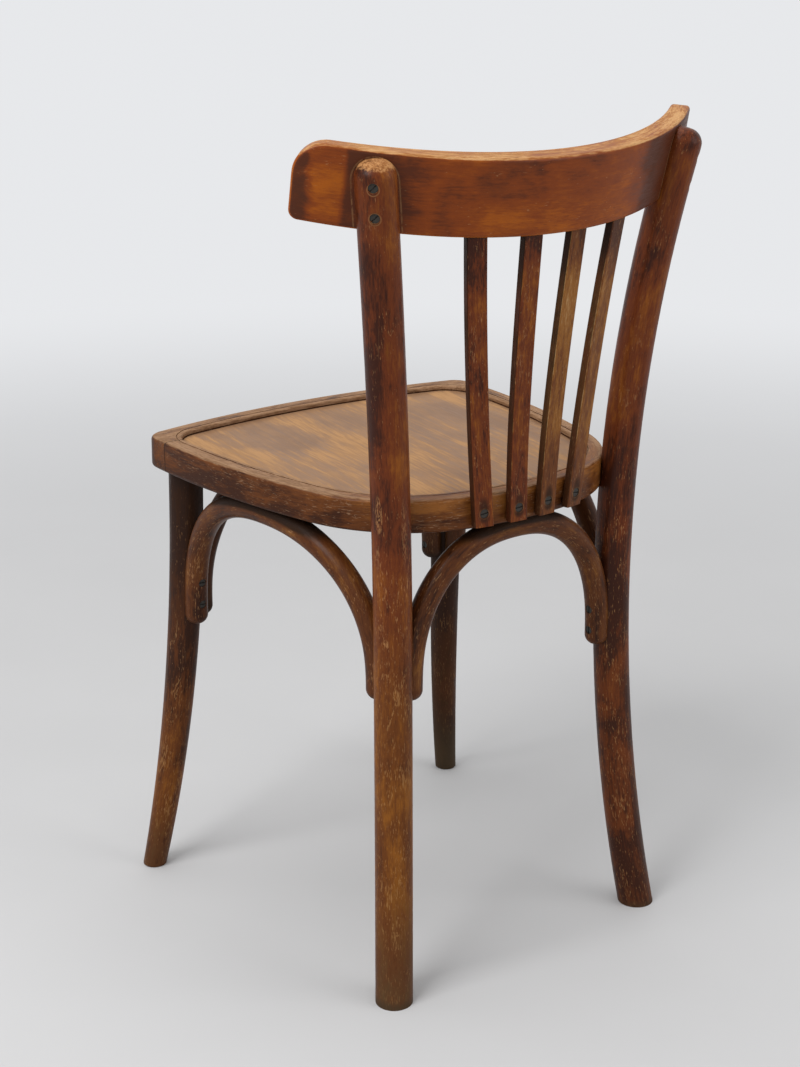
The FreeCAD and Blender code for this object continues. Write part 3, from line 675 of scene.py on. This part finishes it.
# The last value darkens the whole leg: painted shade with some dirt, much more on the right leg, in shade.
LEGS = {
    "left": {"side": 1.0, "seed": 7.0, "thin": 0.44, "scuffed": 0.968, "shade_and_dirt_level": 0.20},
    "right": {"side": -1.0, "seed": 11.0, "thin": 0.30, "scuffed": 0.66, "shade_and_dirt_level": 0.62},
}
for name, wear in LEGS.items():
    give(leg_finish("leg_finish_" + name, **wear), "front_leg_" + name)

# %% [markdown]
# ## The crest rail
# The crest rail is a board bent round an upright axis that leans with the back. Grain made from
# plain X, Y and Z would cut straight through the bend. So we first work out the board's own axes:
# the angle round the bend, the distance from the axis, and the height up the board. Its broad faces
# keep an orange-brown stain with maroon patches beside the posts and at one end; its top and its
# edges are rubbed pale by hands. A fine pale line runs round each post's head, where the varnish has
# cracked along the joint.
# Next to each post's head a dark band is painted shade, where the rod stands proud of the board.

# %% The crest rail's own axes
CREST_PLACE = (0.193, 0.6808)
CREST_LEAN = math.radians(11.8)
CREST_RADIUS = 0.317
EDGE_TURN = (0.97, 0.72)
TOP_TURN = (0.22, 0.62)

CREST = Tones(deep=(0.082, 0.020, 0.007), stain=(0.188, 0.039, 0.006), amber=(0.320, 0.080, 0.006),
              bare=((0.34, 0.155, 0.048), (0.51, 0.285, 0.125)), grime_and_shade=(0.058, 0.021, 0.011))

crest_finish = Finish("crest_finish")
x, y, z = crest_finish.place()
nx, ny, nz = crest_finish.facing()
lean_cos, lean_sin = math.cos(CREST_LEAN), math.sin(CREST_LEAN)
back_way = (y - CREST_PLACE[0]) * lean_cos - (z - CREST_PLACE[1]) * lean_sin + CREST_RADIUS
height_up = (y - CREST_PLACE[0]) * lean_sin + (z - CREST_PLACE[1]) * lean_cos
angle = x.angle_to(back_way)
radius = length(x, back_way)
facing_out = (nx * x + (ny * lean_cos - nz * lean_sin) * back_way) / radius
edge = crest_finish.rise(abs(facing_out), *EDGE_TURN)
top_edge = crest_finish.rise(ny * lean_sin + nz * lean_cos, *TOP_TURN)
print("the crest rail is bent to a radius of", CREST_RADIUS, "m")

# %% The lines round the post heads
POST_HEADS = {1.0: 0.7493, -1.0: 0.7550}
CRACK_GAP = 0.0027
CRACK_WIDTH = (0.0009, 0.0003)
# A dark band beside each post's head is painted shade, where the rod stands out from the board.
JOINT_SHADE = (0.0070, 0.0005)

cracks, joint_shades = [], []
for side, head_top in POST_HEADS.items():
    post_x, post_y = post_middle(z)
    above_dome = (z - (head_top - POST_RADIUS)).most(0.0)
    from_rod = length(x * side - post_x, y - post_y, above_dome) - POST_RADIUS
    cracks.append(crest_finish.rise(abs(from_rod - CRACK_GAP), *CRACK_WIDTH))
    joint_shades.append(crest_finish.rise(from_rod, *JOINT_SHADE))
broken = crest_finish.noise(crest_finish.point(x * 300.0, y * 300.0, z * 120.0), 1.0, 3.0)
crack = most_of(*cracks) * crest_finish.rise(broken, 0.32, 0.50) * (1.0 - edge) * 0.36
print("lines round", len(cracks), "post heads,", CRACK_GAP, "m from the rod")

# %% The dark patches of the crest rail
# Angles round the bend, in radians: a band starts, is full, falls and ends
POST_ANGLE = math.radians(31.0)
OUTSIDE_LEFT_POST = (-0.02, 0.0, 0.066, 0.088)
INSIDE_LEFT_POST = (-0.17, -0.05, 0.0, 0.02)
BEYOND_RIGHT_POST = (-0.22, -0.38)
LEFT_END = (0.680, 0.722)
UPPER_FACE = (0.040, 0.068)
MIDDLE_PATCH = ((0.185, 0.048), (0.13, 0.022))
LOW_PATCH = ((0.32, 0.020), (0.08, 0.03))

clouds = crest_finish.noise(crest_finish.point(angle * 9.0, height_up * 34.0, 3.0), 1.0, 4.0, 0.6, 0.6) - 0.5
patches = most_of(
    crest_finish.band(angle - POST_ANGLE, *OUTSIDE_LEFT_POST) * 0.85,
    crest_finish.band(angle - POST_ANGLE, *INSIDE_LEFT_POST) * 0.80,
    crest_finish.rise(angle, *BEYOND_RIGHT_POST) * 0.95,
    crest_finish.rise(angle + clouds * 0.10, *LEFT_END) * 0.9,
    crest_finish.rise(height_up, *UPPER_FACE) * 0.22,
    crest_finish.spot(angle, height_up, *MIDDLE_PATCH) * 0.60,
    crest_finish.spot(angle, height_up, *LOW_PATCH) * 0.40,
    # painted shade beside the post heads
    most_of(*joint_shades) * 0.8)
dark = (patches + clouds * 0.9).most(0.0).least(1.0) * (1.0 - edge)
print("the posts stand at", round(math.degrees(POST_ANGLE)), "degrees round the bend")

# %% Finish the crest rail
crest_grain = Grain(crest_finish, angle * CREST_RADIUS, height_up, radius, seed=17.0, figure=0.5, mottle=0.7)
old_wood(crest_grain, CREST, thin=0.67 - dark * 0.74 + edge * 0.2, worn=edge * 0.38 + top_edge * 0.36 + 0.02,
         dirt_and_shade=dark * 0.62, scuffs=0.0, marks_and_highlights=crack)
give(crest_finish, "crest_rail")

# %% [markdown]
# ## The slats
# Four flat slats rise from the seat frame to the crest rail and spread like a fan. Each is a straight
# board, so its height serves as the grain's length, and only its own slant is taken away from X. The
# two nearer the camera keep their red stain, the two further ones are rubbed to gold in the middle of
# their length. Their narrow sides are painted black as shade and old dirt, and their tops, under the
# crest rail, are painted darker as shade. The wood round each steel screw is stained dark, and a thin
# pale ring round the screw is a painted highlight.

# %% Finish the slats
SLAT_FOOT = 0.4259
SLAT_TOP = 0.6808
# How far out a slat's middle is, at its foot and at its top
OUTER_SLAT = (0.0514, 0.0780)
INNER_SLAT = (0.0164, 0.0248)
SLAT_ARRIS = (0.0080, 0.0090)
SLAT_SCREW = 0.4420
SLAT_SCREW_HIGHLIGHT_RADIUS = 0.0047
HALO = (0.0092, 0.0020)
HALO_CORE = 0.004
HALO_STRETCH = 0.45
# Shares of a slat's length
GOLDEN_PART = (0.10, 0.40, 0.75, 1.0)
SLAT_TIP = (0.80, 1.0)


def slat_finish(name, side, place, tones, seed, thin, golden):
    finish = Finish(name)
    x, y, z = finish.place()
    nx, ny, nz = finish.facing()
    share = (z - SLAT_FOOT) / (SLAT_TOP - SLAT_FOOT)
    across = x * side - (share * (place[1] - place[0]) + place[0])
    rounded = finish.rise(abs(ny), 0.35, 0.6) * finish.rise(ny, 0.95, 0.8)
    arris = finish.rise(abs(across), *SLAT_ARRIS) * rounded
    # Painted shade and dirt: the narrow sides are darkened.
    narrow = finish.rise(abs(nx), 0.55, 0.85)
    gold = finish.band(share, *GOLDEN_PART) * golden
    # Painted shade: the top of the slat, under the crest rail, gets thicker stain and more darkening.
    tip = finish.rise(share, *SLAT_TIP)
    from_screw_z = z - SLAT_SCREW
    halo_z = (from_screw_z - HALO_CORE).most(0.0) * HALO_STRETCH + (-HALO_CORE - from_screw_z).most(0.0)
    halo = finish.rise(length(across, halo_z), *HALO)
    # A painted highlight: a thin pale ring round the slat's screw, where light catches its rim.
    rim = finish.rise(abs(length(across, from_screw_z) - SLAT_SCREW_HIGHLIGHT_RADIUS), *SCREW_HIGHLIGHT_WIDTH)
    old_wood(Grain(finish, z, across, y, seed, figure=1.1), tones,
             thin=thin + gold * 0.42 - tip * 0.25, worn=arris * 0.46 + gold * 0.34 + 0.02,
             dirt_and_shade=halo * 0.80 + narrow * 0.72 + tip * 0.25, scuffs=0.6,
             marks_and_highlights=rim * finish.rise(ny, 0.3, 0.8) * 0.32)
    return finish


SLATS = {
    "outer_left": (1.0, OUTER_SLAT, RED, {"seed": 21.0, "thin": 0.48, "golden": 0.0}),
    "inner_left": (1.0, INNER_SLAT, RED, {"seed": 24.0, "thin": 0.50, "golden": 0.05}),
    "inner_right": (-1.0, INNER_SLAT, GOLD, {"seed": 27.0, "thin": 0.42, "golden": 1.0}),
    "outer_right": (-1.0, OUTER_SLAT, GOLD, {"seed": 31.0, "thin": 0.40, "golden": 1.0}),
}
for number, (name, (side, place, tones, wear)) in enumerate(SLATS.items(), start=1):
    give(slat_finish(f"slat_finish_{number}", side, place, tones, **wear), "slat_" + name)

# %% [markdown]
# ## The seat frame
# The hoop's grain follows its bend, and wear follows its edge. Its outline is made of large arcs, so
# a point's distance outside it needs no table of points: it is the largest of three distances to
# circles, smoothed where the arcs meet. The top is rubbed to pale tan, the outer side is dark brown,
# rubbed through along its upper edge at the back. The recess round the panel and the back of the
# hoop between the slats are darkened as dirt and painted shade, and the undersides are painted
# darker as shade.

# %% The outline of the seat
SIDE_REACH = 0.1935
SIDE_MIDDLE = -0.1475
SIDE_RADIUS = 0.754
BACK_REACH = 0.1585
BACK_RADIUS = 0.305
FRONT_REACH = -0.1955
FRONT_RADIUS = 0.828
BACK_CORNER = 0.060
FRONT_CORNER = 0.012


def edge_distance(x, y):
    """How far a point lies outside the seat frame's outline; less than 0 inside."""
    side = length(abs(x) - (SIDE_REACH - SIDE_RADIUS), y - SIDE_MIDDLE) - SIDE_RADIUS
    back = length(x, y - (BACK_REACH - BACK_RADIUS)) - BACK_RADIUS
    front = length(x, y - (FRONT_REACH + FRONT_RADIUS)) - FRONT_RADIUS
    return side.softmost(back, BACK_CORNER).softmost(front, FRONT_CORNER)


print("the seat is", round(BACK_REACH - FRONT_REACH, 3), "m deep")

# %% Finish the hoop and the front rail
SEAT_SLOPE = math.tan(math.radians(1.57))
SEAT_TOP = 0.460
RAIL_JOINT = -0.1375
RAIL_JOINT_WIDTH = (0.0009, 0.0003)
HOOP_MIDDLE = -0.02
HOOP_RUN = 0.17
# Each pair is where a mask starts and where it is full: metres outside the outline
BEAD_OUT = (-0.0145, -0.0165)
RIM_OUT = (-0.012, -0.006)
RECESS_OUT = (-0.0175, -0.0195)
QUIRK_OUT = (-0.0172, -0.0160)
# Metres below the seat's top
BEAD_DEPTH = (0.0046, 0.0034)
UPPER_SIDE_DEPTH = (0.022, 0.003)
RECESS_DEPTH = (0.0030, 0.0048)
QUIRK_DEPTH = (0.0005, 0.0009)
# Metres from the chair's middle
REAR = (0.03, 0.13)
SLATS_BACK = (0.10, 0.13)
SLATS_SIDE = (0.078, 0.062)

FRAME = Tones(deep=(0.036, 0.010, 0.003), stain=(0.110, 0.033, 0.007), amber=(0.240, 0.086, 0.017),
              bare=((0.195, 0.102, 0.050), (0.315, 0.185, 0.104)))


def frame_finish(name, straight, seed, worn_shift, dirt_shift):
    finish = Finish(name)
    x, y, z = finish.place()
    facing_up = finish.facing()[2]
    depth = SEAT_TOP - y * SEAT_SLOPE - z
    out = edge_distance(x, y)
    run = x if straight else x.angle_to(y - HOOP_MIDDLE) * HOOP_RUN
    bead = finish.rise(out, *BEAD_OUT) * finish.rise(depth, *BEAD_DEPTH)
    top = most_of(finish.rise(facing_up, 0.45, 0.92), bead * finish.rise(facing_up, -0.5, -0.1))
    rim = finish.rise(facing_up, 0.10, 0.45) * finish.rise(out, *RIM_OUT)
    upper_side = finish.rise(depth, *UPPER_SIDE_DEPTH) * (1.0 - top)
    rear = finish.rise(y, *REAR)
    # Dirt and painted shade in the recess round the panel.
    recess = finish.rise(out, *RECESS_OUT) * (finish.rise(depth, *RECESS_DEPTH) * 0.8 + 0.25)
    joint = finish.rise(abs(y - RAIL_JOINT), *RAIL_JOINT_WIDTH)
    # Painted shade: the undersides are darkened.
    under = finish.rise(facing_up, -0.3, -0.8)
    quirk = finish.rise(depth, *QUIRK_DEPTH) * finish.rise(out, *QUIRK_OUT) * top
    # Painted shade and dirt: the back of the hoop between the slats is darkened.
    by_slats = finish.rise(abs(x), *SLATS_SIDE) * finish.rise(y, *SLATS_BACK) * (1.0 - top)
    dirt_and_shade = most_of(recess * 0.62, joint * 0.9, under * 0.55, quirk * 0.8) + by_slats * 0.3 + dirt_shift
    rubbed = top * (0.84 + worn_shift - rear * 0.36) + upper_side * rear * 0.30
    old_wood(Grain(finish, run, y if straight else out, depth, seed, figure=0.8), FRAME,
             thin=upper_side * (rear * 0.30 + 0.22) + rear * 0.40 + top * 0.4 + 0.06,
             worn=rubbed + bead * 0.25 + rim * 0.22, dirt_and_shade=dirt_and_shade, scuffs=0.75, gloss=0.45)
    return finish


give(frame_finish("hoop_finish", straight=False, seed=41.0, worn_shift=0.0, dirt_shift=0.0), "seat_hoop")
give(frame_finish("front_rail_finish", straight=True, seed=47.0, worn_shift=-0.08, dirt_shift=0.08),
     "seat_front_rail")

# %% [markdown]
# ## The seat panel
# The panel is plywood, rubbed almost bare: long streaks of grain run front to back, cut by soft
# darker patches where old stain is left, and dirt rings its edge, with a thin dark line right at the
# edge that is painted shade as well as dirt. Its underside is painted darker as shade. A veneer's
# figure is much longer than a rod's, so the recipe is given a shortened run, and a slow noise bends
# the streaks. The ring of dirt and painted shade uses the same outline as the frame.

# %% Finish the seat panel
PANEL_TURN = math.radians(-6.0)
PANEL_RUN = 0.22
PANEL_ACROSS = 0.5
PANEL_WAVE = 0.012
PANEL_EDGE = -0.0201
RIM_DIRT = (PANEL_EDGE - 0.013, PANEL_EDGE - 0.001)
# A thin dark line right at the panel's edge: dirt and painted shade in the recess.
EDGE_DIRT_AND_SHADE = (PANEL_EDGE - 0.003, PANEL_EDGE)

PANEL = Tones(deep=(0.205, 0.112, 0.060), stain=(0.260, 0.144, 0.074), amber=(0.315, 0.172, 0.080),
              bare=((0.325, 0.176, 0.078), (0.405, 0.226, 0.104)), grime_and_shade=(0.080, 0.040, 0.022))

panel_finish = Finish("panel_finish")
x, y, z = panel_finish.place()
run = y * math.cos(PANEL_TURN) - x * math.sin(PANEL_TURN)
across = x * math.cos(PANEL_TURN) + y * math.sin(PANEL_TURN)
waves = panel_finish.noise(panel_finish.point(run * 3.0, across * 7.0, 0.0), 1.0, 2.0, 0.5)
bent_across = across * PANEL_ACROSS + (waves - 0.5) * PANEL_WAVE
out = edge_distance(x, y)
rim_dirt = panel_finish.rise(out, *RIM_DIRT)
# Dirt and painted shade in a thin line at the edge.
edge_dirt_and_shade = panel_finish.rise(out, *EDGE_DIRT_AND_SHADE)
# Painted shade: the underside is darkened.
under = panel_finish.rise(panel_finish.facing()[2], 0.0, -0.5)
stain_left = panel_finish.noise(panel_finish.point(run * 7.0, across * 10.0, 2.0), 1.0, 4.0, 0.55, 0.5)
patchy = panel_finish.rise(stain_left, 0.34, 0.74)
panel_grain = Grain(panel_finish, run * PANEL_RUN, bent_across, z, seed=53.0, figure=1.1, mottle=0.35)
old_wood(panel_grain, PANEL, thin=0.85 - patchy * 0.75 - rim_dirt * 0.3,
         worn=0.78 - patchy * 0.52 - rim_dirt * 0.3, dirt_and_shade=rim_dirt * 0.30 + edge_dirt_and_shade * 0.55 + under * 0.5,
         scuffs=0.1, gloss=0.48)
give(panel_finish, "seat_panel")

# %% [markdown]
# ## The arched braces
# Each brace is a rod bent to a full arch. In its own plane the arch is a rounded curve with a
# formula, so it needs no unwrapping either: the distance across the rod comes from how far outside
# that curve a point lies, and the distance along it from the angle at which it is seen from the
# arch's middle. The braces keep a dark brown stain. Their tips are dirty, their crowns under the seat
# frame are darkened as dirt and painted shade, and their undersides are painted darker as shade. The
# front and right ones, in the dark under the seat, are painted nearly black as shade.

# %% Finish the arches
ARCH_SPRING = 0.290
ARCH_FULLNESS = 2.25
ARCH_ACROSS = 0.125
ARCH_RUN = 0.13
ARCH_CROWN = (0.404, 0.424)
ARCH_TIP = (0.300, 0.274)
# The last value darkens the whole brace: painted shade with some dirt, most on the front and right ones.
ARCHES = {
    "rear": {"half": 0.1113, "middle": 0.0, "rise": 0.1264, "seed": 61.0, "shade_and_dirt_level": 0.08},
    "front": {"half": 0.1454, "middle": 0.0, "rise": 0.1350, "seed": 65.0, "shade_and_dirt_level": 0.60},
    "left": {"half": 0.1299, "middle": -0.0132, "rise": 0.1307, "seed": 69.0, "shade_and_dirt_level": 0.16},
    "right": {"half": 0.1299, "middle": -0.0132, "rise": 0.1307, "seed": 73.0, "shade_and_dirt_level": 0.60},
}


def arch_finish(name, half, middle, rise, seed, shade_and_dirt_level):
    finish = Finish("arch_finish_" + name)
    x, y, z = finish.place()
    facing_up = finish.facing()[2]
    line, depth = (x, y) if name in ("rear", "front") else (y, x)
    reach = (line - middle) / half
    lift = ((z - ARCH_SPRING) / rise).most(0.0)
    fullness = (abs(reach) ** ARCH_FULLNESS + lift ** ARCH_FULLNESS) ** (1.0 / ARCH_FULLNESS)
    run = (lift + 0.001).angle_to(reach) * ARCH_RUN + (z - ARCH_SPRING).least(0.0)
    # Painted shade: the undersides are darkened.
    under = finish.rise(facing_up, -0.1, -0.9)
    # Dirt and painted shade where the crown meets the seat frame.
    crown = finish.rise(z, *ARCH_CROWN) * finish.rise(facing_up, -0.2, 0.5)
    tip = finish.rise(z, *ARCH_TIP)
    grain = Grain(finish, run, (fullness - 1.0) * ARCH_ACROSS, depth, seed, figure=0.75, mottle=1.1)
    dirt_and_shade = under * 0.30 + crown * 1.1 + tip * 0.2 + shade_and_dirt_level
    old_wood(grain, BROWN, thin=0.46, worn=0.06, dirt_and_shade=dirt_and_shade, scuffs=0.7)
    return finish


for name, size in ARCHES.items():
    give(arch_finish(name, **size), "arch_" + name)

# %% [markdown]
# ## Steel and dowels
# The screws are old blackened steel with a little brown rust, which one noise gives. The dowels are
# hidden in the joints and stay pale beech, so the wood recipe serves with its plainest settings.

# %% Finish the steel
STEEL_BLACK = (0.036, 0.034, 0.030)
RUST_BROWN = (0.026, 0.017, 0.010)
RUST_COUNT = 700.0
RUST_RELIEF = 0.0002

steel_finish = Finish("old_steel")
rust_noise = steel_finish.noise(steel_finish.point(*steel_finish.place()), RUST_COUNT, 4.0)
rust = steel_finish.rise(rust_noise, 0.42, 0.62)
steel_finish.feed("Base Color", steel_finish.mix(rust, STEEL_BLACK, RUST_BROWN))
steel_finish.feed("Metallic", 0.7 - rust * 0.6)
steel_finish.feed("Roughness", 0.42 + rust * 0.35)
steel_finish.relief(rust, 0.4, RUST_RELIEF)
give(steel_finish, "crest_screws", "slat_screws", "arch_top_screws", "arch_end_screws",
     "post_coach_screws", "post_washers")

# %% Finish the dowels
PALE = Tones(deep=(0.42, 0.27, 0.15), stain=(0.45, 0.30, 0.17), amber=(0.52, 0.36, 0.21),
             bare=((0.48, 0.33, 0.20), (0.58, 0.42, 0.26)))
dowel_finish = Finish("dowel_finish")
x, y, z = dowel_finish.place()
old_wood(Grain(dowel_finish, y, x, z), PALE, thin=0.5, worn=0.5, dirt_and_shade=0.0, gloss=0.6)
give(dowel_finish, "joint_dowels")
